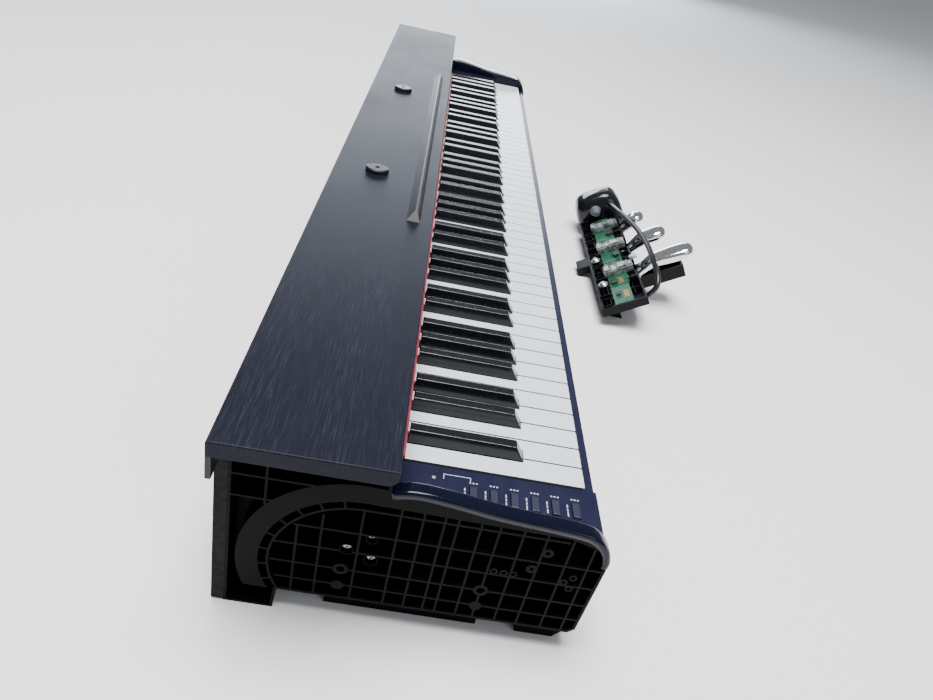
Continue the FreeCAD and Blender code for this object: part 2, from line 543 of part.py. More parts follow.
def pedal_housing():
    """Tray with cross ribs, bosses, a slot and two bearing cheeks for each pedal, brackets and a keel."""
    tray = slab(TRAY_X0, TRAY_X1, 0.0, TRAY_WIDE, SHELF_N, TRAY_DEEP)
    tray = tray.fuse(slab(SHELF_X, TRAY_X1, 0.0, TRAY_WIDE, 0.0, TRAY_DEEP))
    inner_v = TRAY_WIDE - TRAY_WALL
    tray = tray.cut(slab(TRAY_X0 + TRAY_WALL, SHELF_X + TRAY_WALL, TRAY_WALL, inner_v, SHELF_N + TRAY_WALL,
                         TRAY_DEEP + 1))
    tray = tray.cut(slab(SHELF_X + TRAY_WALL, TRAY_X1 - TRAY_WALL, TRAY_WALL, inner_v, TRAY_WALL,
                         TRAY_DEEP + 1))
    pieces = [floor_wedge(SHELF_X + 5.0, TRAY_X1, 24.0)]
    for x in (-86.0, -64.0, -6.0, 10.0, 26.0, 70.0, 84.0, 98.0, 144.0):
        pieces.append(slab(x - 1.0, x + 1.0, 1.0, TRAY_WIDE - 1.0, 1.0, DECK_N))
    for v in (19.0, 53.0):
        pieces.append(slab(SHELF_X + 1.0, TRAY_X1 - 1.0, v - 1.0, v + 1.0, 1.0, DECK_N - 2.0))
    for x, v in SCREWS:
        pieces.append(slab(x - 5.0, x + 5.0, 1.0, v + 5.0, 1.0, DECK_N + 3.0))
    for x in (-112.0, 90.0):
        pieces.append(slab(x - 4.0, x + 4.0, 24.0, 44.0, SHELF_N + 1, DECK_N))
    pieces.append(slab(15.0, 42.0, -20.0, 1.0, 14.0, DECK_N))
    foot = slab(-33.0, 12.0, TRAY_WIDE - 1.0, 133.0, -14.0, 6.0)
    for x0, x1 in ((-30.0, -14.0), (-11.0, 9.0)):
        foot = foot.cut(slab(x0, x1, 72.0, 130.0, -11.0, 7.0))
    pieces.append(foot)
    pieces.append(slab(-33.0, 12.0, TRAY_WIDE - 12.0, TRAY_WIDE, -14.0, 1.0))
    tray = fuse([tray] + pieces)
    pivot_v, pivot_n = PEDAL_PIVOT
    for x in PEDAL_XS.values():
        tray = tray.cut(slab(x - PEDAL_SLOT, x + PEDAL_SLOT, inner_v - 1, TRAY_WIDE + 1, 8.0, TRAY_DEEP + 1))
        tray = tray.cut(slab(x - PEDAL_SLOT, x + PEDAL_SLOT, TRAY_WALL, inner_v, 8.0, TRAY_DEEP + 1))
        for side in (-1.0, 1.0):
            cheek_x = x + side * (PEDAL_SLOT + 1.0)
            tray = tray.fuse(slab(cheek_x - 2.0, cheek_x + 2.0, pivot_v - 8.0, pivot_v + 8.0, 2.0, 23.0))
        tray = tray.cut(rod_x(3.06, x - PEDAL_SLOT - 4, x + PEDAL_SLOT + 4, -pivot_v, pivot_n))
    return max(tray.removeSplitter().Solids, key=lambda solid: solid.Volume)


def pedal(x, tip_v):
    """Flat lever inside the tray and a rounded blade outside it, turning on its own pin."""
    pivot_v, pivot_n = PEDAL_PIVOT
    half = PEDAL_W / 2
    lever = slab(x - 7, x + 7, pivot_v - 7, 68.0, pivot_n - 4, pivot_n + 4)
    shank = prism_x([(-62.0, pivot_n - 4), (-62.0, pivot_n + 4), (-92.0, pivot_n + 22), (-92.0, pivot_n + 9)],
                    x - 9, x + 9)
    blade = slab(x - half, x + half, 84.0, tip_v, pivot_n + 8, pivot_n + 22)
    tip = [e for e in blade.Edges if abs(e.Length - 14.0) < 0.01 and e.Vertexes[0].Y < 0.01 - tip_v]
    blade = blade.makeFillet(half - 0.5, tip)
    crest = [e for e in blade.Edges if all(v.Z > pivot_n + 21.9 for v in e.Vertexes)]
    blade = blade.makeFillet(4.0, crest)
    pivot = rod_x(3.0, x - half - 3.5, x + half + 3.5, -pivot_v, pivot_n)
    return fuse([lever, shank, blade, pivot])


SCREWS = ((-59.0, 12.0), (19.0, 11.0))
save("pedal_housing", lean(pedal_housing()))
for name, x in PEDAL_XS.items():
    save(name, lean(pedal(x, PEDAL_TIPS[name])))

board_slabs = [(-122.0, -72.0, 21.0, 48.0), (-70.0, 2.0, 21.0, 50.0), (4.0, 158.0, 21.0, 50.0)]
save("pedal_boards", *[lean(slab(*edges, DECK_N, DECK_N + 1.6)) for edges in board_slabs])
sensor_solids = []
for x in PEDAL_XS.values():
    body = slab(x - 9, x + 9, 18.0, 62.0, DECK_N + 1.6, DECK_N + 9.0)
    slider = slab(x - 6, x + 6, 40.0, 52.0, DECK_N + 9.0, DECK_N + 13.0)
    sensor_solids.append(lean(fuse([body, slider])))
save("pedal_sensors", *sensor_solids)
pan_heads = []
for x, v in SCREWS:
    head_n = DECK_N + 3.0
    head = fuse([post(5.5, head_n, head_n + 2.0, x, -v),
                 Part.makeCone(5.5, 3.2, 2.0, V(x, -v, head_n + 2.0), Z_AXIS)])
    pan_heads.append(lean(head))
save("pedal_screws", *pan_heads)


def end_cover():
    """Rounded hood beyond the treble end of the tray, hollow, standing on a keel."""
    outer = slab(TRAY_X1, HOOD_X1, 0.0, HOOD_WIDE, 0.0, HOOD_TOP)
    top = [e for e in outer.Edges if all(v.Z > HOOD_TOP - 0.1 for v in e.Vertexes)]
    side = [e for e in outer.Edges if abs(e.Length - HOOD_TOP) < 0.01 and e.Vertexes[0].X > HOOD_X1 - 1]
    outer = outer.makeFillet(20.0, top + side)
    outer = outer.cut(slab(TRAY_X1 + 3, HOOD_X1 - 9, 6.0, HOOD_WIDE - 6, 3.0, HOOD_TOP - 12))
    return fuse([outer, floor_wedge(TRAY_X1 + 30.0, HOOD_X1 - 24.0, 60.0)])


save("pedal_end_cover", lean(end_cover()))

CABLE_ROUTE = [(165.0, -284.3, 72.5), (126.0, -288.2, 79.6), (88.0, -295.8, 84.4), (48.0, -302.6, 88.6),
               (8.0, -306.8, 91.3), (-32.0, -308.5, 92.3), (-70.0, -308.7, 90.1), (-104.0, -311.6, 83.6),
               (-120.0, -311.2, 69.2), (-116.0, -302.2, 55.3)]


def round_tube(points, radius):
    """Tube along straight runs joined by tangent arcs; prints each bend's radius."""
    knots = [V(*point) for point in points]
    edges = []
    start = knots[0]
    for before, corner, after in zip(knots, knots[1:], knots[2:]):
        inward = (before - corner).normalize()
        outward = (after - corner).normalize()
        half_turn = (math.pi - inward.getAngle(outward)) / 2.0
        reach = 0.45 * min((before - corner).Length, (after - corner).Length)
        bend = reach / math.tan(half_turn)
        first, last = corner + inward * reach, corner + outward * reach
        to_mid = (inward + outward).normalize()
        middle = corner + to_mid * (bend / math.cos(half_turn) - bend)
        edges += [Part.LineSegment(start, first).toShape(), Part.Arc(first, middle, last).toShape()]
        start = last
        print("  cable bend radius", round(bend, 1))
    edges.append(Part.LineSegment(start, knots[-1]).toShape())
    path = Part.Wire(edges)
    ring_wire = Part.Wire(Part.makeCircle(radius, knots[0], knots[1] - knots[0]))
    tube = path.makePipeShell([ring_wire], True, False)
    print("  cable length", round(path.Length, 1), "fill", round(tube.Volume / (math.pi * radius ** 2 * path.Length), 3))
    return tube


save("pedal_cable", round_tube(CABLE_ROUTE, CABLE_R))
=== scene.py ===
"""Looks of a digital piano console and of the pedal unit of its stand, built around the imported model."""
import json
import math

import bpy
import numpy as np
from bpy.props import FloatProperty, FloatVectorProperty, PointerProperty
from mathutils import Matrix, Vector


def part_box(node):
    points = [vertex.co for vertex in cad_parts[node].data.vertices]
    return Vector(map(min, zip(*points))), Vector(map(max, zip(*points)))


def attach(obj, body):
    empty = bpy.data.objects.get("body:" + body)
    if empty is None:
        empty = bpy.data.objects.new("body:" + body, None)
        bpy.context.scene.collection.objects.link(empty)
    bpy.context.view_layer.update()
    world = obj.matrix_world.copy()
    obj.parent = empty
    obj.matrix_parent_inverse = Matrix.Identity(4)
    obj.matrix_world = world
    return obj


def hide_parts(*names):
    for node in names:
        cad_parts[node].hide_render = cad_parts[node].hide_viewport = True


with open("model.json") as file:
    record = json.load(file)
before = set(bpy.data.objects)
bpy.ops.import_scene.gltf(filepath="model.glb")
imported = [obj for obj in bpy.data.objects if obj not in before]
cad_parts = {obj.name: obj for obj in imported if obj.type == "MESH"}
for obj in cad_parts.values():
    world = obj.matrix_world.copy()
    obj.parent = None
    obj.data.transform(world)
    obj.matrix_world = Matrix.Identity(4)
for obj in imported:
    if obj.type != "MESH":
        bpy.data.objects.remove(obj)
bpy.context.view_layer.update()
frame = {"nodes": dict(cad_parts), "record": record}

SLOT_OF = {part["node"]: part["material_slot"] for part in frame["record"]["subparts"]}

bl_info = {
    "name": "Digital piano console",
    "version": (1, 0, 0),
    "blender": (4, 5, 0),
    "location": "View3D > Sidebar > Piano",
    "description": "Finishes and small pieces of a piano console and its pedal unit",
    "category": "Add Mesh",
}

MM = 0.001
KEY_PITCH = 0.0235
PREFIX = "look_"
SAWN_END_X = 0.6635


# ---- sizes and colours a user would change ------------------------------------------


class PianoCaseLooks(bpy.types.PropertyGroup):
    board_dark: FloatVectorProperty(name="Board ground", description="Darkest colour of the board's grain",
                                    subtype="COLOR", default=(0.0032, 0.0036, 0.0105))
    board_pale: FloatVectorProperty(name="Board streak", description="Palest colour of the board's grain",
                                    subtype="COLOR", default=(0.016, 0.018, 0.036))
    moulding: FloatVectorProperty(name="Moulding", description="Colour of the ribbed end frames",
                                  subtype="COLOR", default=(0.0018, 0.0022, 0.0022))
    gloss: FloatVectorProperty(name="Cheek gloss", description="Colour of the polished cheeks",
                               subtype="COLOR", default=(0.0025, 0.0032, 0.0115))
    panel: FloatVectorProperty(name="Panel", description="Colour of the control panel and the key slip",
                               subtype="COLOR", default=(0.0060, 0.0065, 0.0215))
    cove: FloatProperty(name="Cove", description="Reach of the bass cheek's cove over the panel at the back",
                        subtype="DISTANCE", unit="LENGTH", default=0.016)
    crown_round: FloatProperty(name="Crown rounding", description="Rounding of the cheeks' upper edges",
                               subtype="DISTANCE", unit="LENGTH", default=0.0018)


class PianoKeyLooks(bpy.types.PropertyGroup):
    natural: FloatVectorProperty(name="Natural", description="Colour of the natural keys", subtype="COLOR",
                                 default=(0.66, 0.70, 0.76))
    sharp: FloatVectorProperty(name="Sharp", description="Colour of the sharp keys", subtype="COLOR",
                               default=(0.006, 0.0065, 0.009))
    felt: FloatVectorProperty(name="Felt", description="Colour of the felt behind the keys", subtype="COLOR",
                              default=(0.55, 0.012, 0.05))


class PianoPedalLooks(bpy.types.PropertyGroup):
    housing: FloatVectorProperty(name="Housing", description="Colour of the pedal unit's moulding",
                                 subtype="COLOR", default=(0.004, 0.0042, 0.005))
    mask: FloatVectorProperty(name="Solder mask", description="Green of the circuit boards", subtype="COLOR",
                              default=(0.006, 0.085, 0.042))
    blade_width: FloatProperty(name="Blade width", description="Widest part of a pedal blade",
                               subtype="DISTANCE", unit="LENGTH", default=0.034)
    cable_diameter: FloatProperty(name="Cable diameter", description="Thickness of the cable bundle",
                                  subtype="DISTANCE", unit="LENGTH", default=0.008)


class PianoStageLooks(bpy.types.PropertyGroup):
    eye: FloatVectorProperty(name="Eye", description="Where the camera stands", subtype="TRANSLATION",
                             unit="LENGTH", default=(-1.0329, 0.0425, 0.5195))
    heading: FloatProperty(name="Heading", description="Turn of the view from +X", unit="ROTATION",
                           default=math.radians(-5.564))
    fall: FloatProperty(name="Fall", description="Tilt of the view below level", unit="ROTATION",
                        default=math.radians(33.086))
    roll: FloatProperty(name="Roll", description="Lean of the camera", unit="ROTATION",
                        default=math.radians(13.319))
    lens: FloatProperty(name="Lens", description="Focal length in millimetres", default=28.473)
    floor: FloatVectorProperty(name="Floor", description="Colour of the floor", subtype="COLOR",
                               default=(0.90, 0.90, 0.91))


# ---- shader expressions --------------------------------------------------------------


class Term:
    """A number socket; sums, differences, products and powers of terms add Math nodes."""

    def __init__(self, paint, socket):
        self.paint = paint
        self.socket = socket

    def _math(self, operation, first, second):
        node = self.paint.node("ShaderNodeMath", {"operation": operation}, {0: first, 1: second})
        return Term(self.paint, node.outputs[0])

    def __add__(self, other):
        return self._math("ADD", self, other)

    __radd__ = __add__

    def __sub__(self, other):
        return self._math("SUBTRACT", self, other)

    def __rsub__(self, other):
        return self._math("SUBTRACT", other, self)

    def __mul__(self, other):
        return self._math("MULTIPLY", self, other)

    __rmul__ = __mul__

    def __pow__(self, other):
        return self._math("POWER", self, other)

    def fraction(self):
        return self._math("FRACT", self, 0.0)

    def __gt__(self, other):
        return self._math("GREATER_THAN", self, other)


class Paint:
    """One material: a Principled surface and the nodes that feed it."""

    def __init__(self, name, **constants):
        self.material = bpy.data.materials.new(PREFIX + name)
        self.material.use_nodes = True
        self.tree = self.material.node_tree
        self.shader = self.tree.nodes["Principled BSDF"]
        for socket, value in constants.items():
            self.shader.inputs[socket.replace("_", " ")].default_value = value
        self.where = self.node("ShaderNodeTexCoord").outputs["Object"]

    def node(self, kind, settings=None, inputs=None):
        made = self.tree.nodes.new(kind)
        for name, value in (settings or {}).items():
            if name == "stops":
                for index, (position, shade) in enumerate(value):
                    ramp = made.color_ramp.elements
                    stop = ramp[index] if index < 2 else ramp.new(position)
                    stop.position = position
                    stop.color = (shade, shade, shade, 1)
            else:
                setattr(made, name, value)
        for key, value in (inputs or {}).items():
            if isinstance(value, Term):
                value = value.socket
            if isinstance(value, bpy.types.NodeSocket):
                self.tree.links.new(value, made.inputs[key])
            else:
                made.inputs[key].default_value = value
        return made

    def place(self, stretch=(1, 1, 1)):
        return self.node("ShaderNodeMapping", {}, {"Vector": self.where, "Scale": stretch}).outputs[0]

    def noise(self, scale, stretch=(1, 1, 1), detail=4.0, rough=0.6):
        made = self.node("ShaderNodeTexNoise", {}, {"Vector": self.place(stretch), "Scale": scale,
                                                    "Detail": detail, "Roughness": rough})
        return Term(self, made.outputs[0])

    def cells(self, scale, stretch=(1, 1, 1)):
        made = self.node("ShaderNodeTexVoronoi", {}, {"Vector": self.place(stretch), "Scale": scale})
        return Term(self, made.outputs["Distance"])

    def ramp(self, term, *stops):
        return Term(self, self.node("ShaderNodeValToRGB", {"stops": stops}, {0: term}).outputs[0])

    def axis(self, index):
        made = self.node("ShaderNodeSeparateXYZ", {}, {0: self.where})
        return Term(self, made.outputs[index])

    def blend(self, factor, first, second):
        """Colour between first, where factor is 0, and second, where it is 1."""
        inputs = {0: factor}
        for index, colour in ((6, first), (7, second)):
            inputs[index] = colour if isinstance(colour, bpy.types.NodeSocket) else (*colour, 1.0)
        return self.node("ShaderNodeMix", {"data_type": "RGBA"}, inputs).outputs[2]

    def surface(self, colour=None, roughness=None, height=None, depth=0.0002, strength=0.5):
        links = self.tree.links
        if colour is not None:
            links.new(colour, self.shader.inputs["Base Color"])
        if roughness is not None:
            links.new(roughness.socket, self.shader.inputs["Roughness"])
        if height is not None:
            bump = self.node("ShaderNodeBump", {}, {"Height": height, "Distance": depth,
                                                    "Strength": strength})
            links.new(bump.outputs[0], self.shader.inputs["Normal"])
        return self.material


def shade(colour, amount):
    return tuple(channel * amount for channel in colour)


# ---- finishes --------------------------------------------------------------------------


def board_laminate(looks):
    """Dark foil with long fine pores: two stretched noises make the streaks, a wide one the figure."""
    paint = Paint("board_laminate", Specular_IOR_Level=0.13)
    fine = paint.noise(900.0, (0.035, 1, 1), 5.0, 0.7)
    broad = paint.noise(40.0, (0.10, 1, 1), 5.0, 0.6)
    pores = paint.ramp(fine, (0.48, 0.0), (0.66, 1.0))
    figure = paint.ramp(broad, (0.35, 0.15), (0.65, 1.0))
    streaks = pores * figure
    colour = paint.blend(streaks, tuple(looks.board_dark), tuple(looks.board_pale))
    wear = paint.noise(9.0, (1, 1, 1), 3.0)
    return paint.surface(colour, wear * 0.12 + streaks * 0.1 + 0.36, fine, 0.00012, 0.35)


def frame_plastic(looks):
    """Black moulding with a fine spark texture, paler dust on it and uneven sheen."""
    paint = Paint("frame_plastic", Specular_IOR_Level=0.05)
    grain = paint.cells(1400.0)
    dust = paint.ramp(paint.noise(60.0, detail=8.0, rough=0.7), (0.52, 0.0), (0.75, 1.0))
    colour = paint.blend(dust * 0.5, tuple(looks.moulding), (0.006, 0.008, 0.008))
    return paint.surface(colour, dust * 0.2 + 0.40, grain, 0.00008, 0.4)


def cheek_gloss(looks):
    paint = Paint("cheek_gloss", Specular_IOR_Level=0.15, Coat_Weight=0.16, Coat_Roughness=0.05)
    orange_peel = paint.noise(140.0, detail=2.0)
    dust = paint.ramp(paint.noise(420.0, detail=6.0), (0.62, 0.0), (0.72, 1.0))
    colour = paint.blend(dust * 0.10, tuple(looks.gloss), (0.05, 0.055, 0.07))
    return paint.surface(colour, dust * 0.25 + 0.14, orange_peel, 0.00006, 0.15)


def panel_satin(looks):
    paint = Paint("panel_satin", Specular_IOR_Level=0.25)
    grain = paint.noise(1600.0, detail=3.0)
    smear = paint.noise(30.0, (1, 3, 1), 4.0)
    colour = paint.blend(smear, tuple(looks.panel), shade(looks.panel, 1.9))
    return paint.surface(colour, smear * 0.15 + 0.26, grain, 0.00005, 0.3)


def satin_trim(looks):
    paint = Paint("satin_trim", Specular_IOR_Level=0.3)
    grain = paint.noise(900.0, detail=3.0)
    colour = paint.blend(grain, (0.006, 0.0065, 0.010), (0.016, 0.017, 0.024))
    return paint.surface(colour, grain * 0.12 + 0.24, grain, 0.00006, 0.25)


def back_wood(looks):
    """Chipboard at the sawn ends, dark foil on the rear face."""
    paint = Paint("back_wood", Specular_IOR_Level=0.15)
    chips = paint.cells(260.0, (1.0, 0.5, 1.0))
    fibres = paint.noise(340.0, (1, 1, 1), 6.0)
    sawn = paint.blend(paint.ramp(chips, (0.1, 0.0), (0.8, 1.0)),
                       (0.004, 0.005, 0.004), (0.014, 0.013, 0.011))
    foil_grain = paint.noise(180.0, (0.05, 1, 1), 5.0, 0.7)
    foil = paint.blend(foil_grain, (0.010, 0.011, 0.014), (0.03, 0.031, 0.036))
    across = paint.axis(0)
    end = (across * across) > (SAWN_END_X * SAWN_END_X)
    colour = paint.blend(end, foil, sawn)
    return paint.surface(colour, end * 0.35 + 0.45, chips * end + fibres * 0.3, 0.0004, 0.5)


def button_plastic(looks):
    paint = Paint("button_plastic")
    grain = paint.noise(1500.0, detail=2.0)
    colour = paint.blend(grain, (0.012, 0.014, 0.030), (0.022, 0.025, 0.050))
    return paint.surface(colour, grain * 0.1 + 0.3, grain, 0.00005, 0.3)


def lamp_lens(looks):
    paint = Paint("lamp_lens", Transmission_Weight=0.3, Coat_Weight=1.0)
    flecks = paint.noise(2500.0)
    return paint.surface(paint.blend(flecks, (0.34, 0.33, 0.35), (0.55, 0.54, 0.56)), flecks * 0.1 + 0.1)


def circuit_board(looks):
    """Green solder mask with darker tracks and small tinned pads."""
    paint = Paint("circuit_board", Coat_Weight=0.3)
    tracks = paint.node("ShaderNodeTexBrick", {"offset": 0.35}, {
        "Vector": paint.place((60, 60, 60)), "Scale": 2.0, "Mortar Size": 0.035,
        "Color1": (0, 0, 0, 1), "Color2": (0.12, 0.12, 0.12, 1), "Mortar": (1, 1, 1, 1)}).outputs[0]
    pads = paint.ramp(paint.cells(330.0), (0.10, 1.0), (0.16, 0.0))
    mask = tuple(looks.mask)
    green = paint.blend(tracks, mask, shade(mask, 0.45))
    cloudy = paint.noise(40.0)
    colour = paint.blend(pads * 0.8, paint.blend(cloudy * 0.4, green, shade(mask, 1.8)), (0.55, 0.50, 0.38))
    return paint.surface(colour, cloudy * 0.15 + 0.25, pads, 0.0001, 0.4)


def chassis_plastic(looks):
    paint = Paint("chassis_plastic")
    grain = paint.noise(700.0)
    return paint.surface(paint.blend(grain, (0.010, 0.010, 0.011), (0.028, 0.028, 0.03)), grain * 0.2 + 0.4,
                         grain, 0.0001, 0.3)


def steel(looks):
    paint = Paint("steel", Metallic=1.0)
    lathe = paint.noise(900.0, (1, 1, 0.2))
    spots = paint.ramp(paint.noise(180.0), (0.5, 0.0), (0.8, 1.0))
    return paint.surface(paint.blend(spots, (0.62, 0.62, 0.60), (0.36, 0.35, 0.32)), lathe * 0.2 + 0.2,
                         lathe, 0.00006, 0.3)


def felt(looks):
    paint = Paint("felt", Sheen_Weight=0.6)
    fibres = paint.noise(2600.0, (0.4, 1, 1), 6.0, 0.8)
    colour = paint.blend(fibres, shade(looks.felt, 0.45), tuple(looks.felt))
    return paint.surface(colour, fibres * 0.1 + 0.85, fibres, 0.0006, 0.8)


def speaker_cone(looks):
    paint = Paint("speaker_cone")
    pulp = paint.noise(500.0, detail=8.0, rough=0.8)
    return paint.surface(paint.blend(pulp, (0.012, 0.012, 0.013), (0.05, 0.05, 0.052)), pulp * 0.2 + 0.55,
                         pulp, 0.0003, 0.5)


def foot_rubber(looks):
    paint = Paint("foot_rubber")
    scuffs = paint.noise(120.0, (1, 1, 2), 6.0)
    return paint.surface(paint.blend(scuffs, (0.008, 0.008, 0.008), (0.04, 0.04, 0.04)), scuffs * 0.2 + 0.6,
                         scuffs, 0.0002, 0.4)


def housing_plastic(looks):
    paint = Paint("housing_plastic", Specular_IOR_Level=0.12)
    grain = paint.cells(900.0)
    dust = paint.ramp(paint.noise(75.0, detail=8.0), (0.5, 0.0), (0.8, 1.0))
    colour = paint.blend(dust * 0.6, tuple(looks.housing), (0.022, 0.023, 0.026))
    return paint.surface(colour, dust * 0.2 + 0.32, grain, 0.00008, 0.35)


def pedal_chrome(looks):
    paint = Paint("pedal_chrome", Metallic=1.0)
    haze = paint.ramp(paint.noise(50.0, (1, 2, 1), 6.0), (0.45, 0.0), (0.8, 1.0))
    hairlines = paint.noise(700.0, (6, 0.4, 1), 3.0)
    return paint.surface(paint.blend(haze, (0.82, 0.83, 0.85), (0.62, 0.60, 0.56)), haze * 0.18 + 0.05,
                         hairlines, 0.00002, 0.15)


def sensor_metal(looks):
    paint = Paint("sensor_metal", Metallic=0.75)
    brushed = paint.noise(700.0, (5, 0.3, 1), 4.0)
    patches = paint.ramp(paint.noise(140.0), (0.4, 0.0), (0.6, 1.0))
    return paint.surface(paint.blend(patches, (0.50, 0.52, 0.52), (0.14, 0.15, 0.15)), brushed * 0.3 + 0.2,
                         brushed + patches, 0.00015, 0.4)


def hood_gloss(looks):
    paint = Paint("hood_gloss", Specular_IOR_Level=0.2, Coat_Weight=0.3, Coat_Roughness=0.06)
    haze = paint.noise(25.0)
    return paint.surface(paint.blend(haze, (0.003, 0.0035, 0.006), (0.009, 0.010, 0.014)), haze * 0.12 + 0.14,
                         haze, 0.0001, 0.2)


def cable_jacket(looks):
    paint = Paint("cable_jacket")
    grain = paint.noise(600.0, (0.2, 1, 1), 4.0)
    return paint.surface(paint.blend(grain, (0.003, 0.003, 0.004), (0.010, 0.010, 0.012)),
                         grain * 0.15 + 0.25, grain, 0.0001, 0.3)


def natural_plastic(looks):
    """Cool white moulded key tops, faint handling marks, and painted shade: a near-black band where each key
    meets its neighbour stands in for the shade in the gap between keys. The distance to the nearest key
    boundary is the key's phase along X less a half, doubled."""
    paint = Paint("natural_plastic", Coat_Weight=0.15, Coat_Roughness=0.2)
    marks = paint.ramp(paint.noise(55.0, (1, 0.5, 1), 6.0), (0.45, 0.0), (0.85, 1.0))
    grain = paint.noise(2200.0, detail=2.0)
    phase = ((paint.axis(0) + 0.6) * (1 / KEY_PITCH)).fraction() - 0.5
    # painted shade: a narrow band at each key boundary, 0.8 mm wide, is picked out to be darkened
    gap_shade = (phase * phase) > (0.5 - 0.0008 / KEY_PITCH) ** 2
    tops = paint.blend(marks * 0.35, tuple(looks.natural), shade(looks.natural, 0.84))
    # painted shade mixed in: the key colour at 5 per cent along each key gap, standing in for the shade
    # between keys
    colour = paint.blend(gap_shade * 0.93, tops, shade(looks.natural, 0.05))
    return paint.surface(colour, marks * 0.12 + 0.27, grain, 0.00003, 0.2)


def sharp_plastic(looks):
    paint = Paint("sharp_plastic", Specular_IOR_Level=0.3, Coat_Weight=0.3, Coat_Roughness=0.12)
    grain = paint.noise(1500.0, (1, 0.15, 1), 3.0)
    dust = paint.ramp(paint.noise(300.0, detail=6.0), (0.55, 0.0), (0.75, 1.0))
    colour = paint.blend(dust * 0.12, tuple(looks.sharp), (0.04, 0.043, 0.05))
    return paint.surface(colour, dust * 0.25 + 0.15, grain, 0.00004, 0.25)


def bell_rubber(looks):
    paint = Paint("bell_rubber")
    bloom = paint.noise(260.0)
    return paint.surface(paint.blend(bloom, (0.05, 0.055, 0.075), (0.12, 0.13, 0.16)), bloom * 0.2 + 0.4)


def mark_paint(looks):
    paint = Paint("mark_paint")
    wear = paint.noise(1200.0)
    return paint.surface(paint.blend(wear, (0.30, 0.32, 0.38), (0.50, 0.52, 0.58)), wear * 0.2 + 0.4)


def copper(looks):
    paint = Paint("copper", Metallic=0.7)
    tarnish = paint.noise(500.0)
    return paint.surface(paint.blend(tarnish, (0.72, 0.42, 0.16), (0.45, 0.24, 0.10)), tarnish * 0.2 + 0.3)


def floor_paint(looks):
    paint = Paint("floor_paint")
    mottle = paint.noise(3.0)
    return paint.surface(paint.blend(mottle, tuple(looks.floor), shade(looks.floor, 0.985)),
                         mottle * 0.05 + 0.75)


CASE_FINISHES = (board_laminate, frame_plastic, cheek_gloss, panel_satin, satin_trim, back_wood,
                 button_plastic, lamp_lens, chassis_plastic, steel, speaker_cone, foot_rubber, mark_paint)
KEY_FINISHES = (natural_plastic, sharp_plastic, felt)
PEDAL_FINISHES = (circuit_board, housing_plastic, pedal_chrome, sensor_metal, hood_gloss, cable_jacket,
                  copper, bell_rubber)


def finish(name):
    """The procedural finish of that name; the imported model's own plain materials bear the bare names."""
    return bpy.data.materials[PREFIX + name]


# ---- meshes -------------------------------------------------------------------------------


def grid_quads(rows, columns, closed_rows=False, closed_columns=False):
    """Quads of a rows by columns grid of points, its last row or column joined to the first if closed."""
    row = np.arange(rows if closed_rows else rows - 1)
    column = np.arange(columns if closed_columns else columns - 1)
    r, c = np.meshgrid(row, column, indexing="ij")
    r1, c1 = (r + 1) % rows, (c + 1) % columns
    quads = np.stack([r * columns + c, r1 * columns + c, r1 * columns + c1, r * columns + c1], -1)
    return quads.reshape(-1, 4)


def add_piece(name, points, faces, material, body, slot, smooth=True):
    """One mesh object from an array of points in metres and a list of faces, riding on a body."""
    mesh = bpy.data.meshes.new(name)
    mesh.from_pydata(np.asarray(points, float).reshape(-1, 3).tolist(), [], [list(face) for face in faces])
    mesh.polygons.foreach_set("use_smooth", [smooth] * len(mesh.polygons))
    mesh.materials.append(finish(material))
    mesh.update()
    piece = bpy.data.objects.new(name, mesh)
    bpy.context.scene.collection.objects.link(piece)
    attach(piece, body)
    return piece


def modify(piece, kind, **settings):
    modifier = piece.modifiers.new(kind.title(), kind)
    for name, value in settings.items():
        setattr(modifier, name, value)
    return piece


def bevel(piece, width, segments=2):
    return modify(piece, "BEVEL", width=width, segments=segments, limit_method="ANGLE", harden_normals=False)


def block_points(boxes):
    """Eight corners of each box: every low or high choice along X, Y and Z."""
    boxes = np.asarray(boxes, float)
    low, high = boxes[:, 0::2], boxes[:, 1::2]
    choice = np.array([[i >> 2 & 1, i >> 1 & 1, i & 1] for i in range(8)])
    return (low[:, None] * (1 - choice) + high[:, None] * choice).reshape(-1, 3)


BLOCK_FACES = np.array([[0, 1, 3, 2], [4, 6, 7, 5], [0, 4, 5, 1], [2, 3, 7, 6], [0, 2, 6, 4], [1, 5, 7, 3]])


LEAN = math.radians(32.0)
UNIT_Y = -258.9


def lean(points):
    """Row frame places of points in the pedal unit's axes, turned back by the lean about its rear edge."""
    x, v, n = np.moveaxis(np.asarray(points, float), -1, 0)
    return np.stack([x, UNIT_Y - v * math.cos(LEAN) + n * math.sin(LEAN),
                     v * math.sin(LEAN) + n * math.cos(LEAN)], -1)


def add_blocks(name, boxes, material, body, slot, edge=0.3, own=False):
    """Bevelled blocks in one piece, each six bounds in millimetres, along X, Y, Z or the unit's own axes."""
    points = block_points(boxes)
    faces = (BLOCK_FACES[None] + 8 * np.arange(len(boxes))[:, None, None]).reshape(-1, 4)
    if own:
        points, faces = lean(points), faces[:, ::-1]
    points = points * MM
    piece = add_piece(name, points, faces, material, body, slot, smooth=False)
    return bevel(piece, edge * MM, 2)


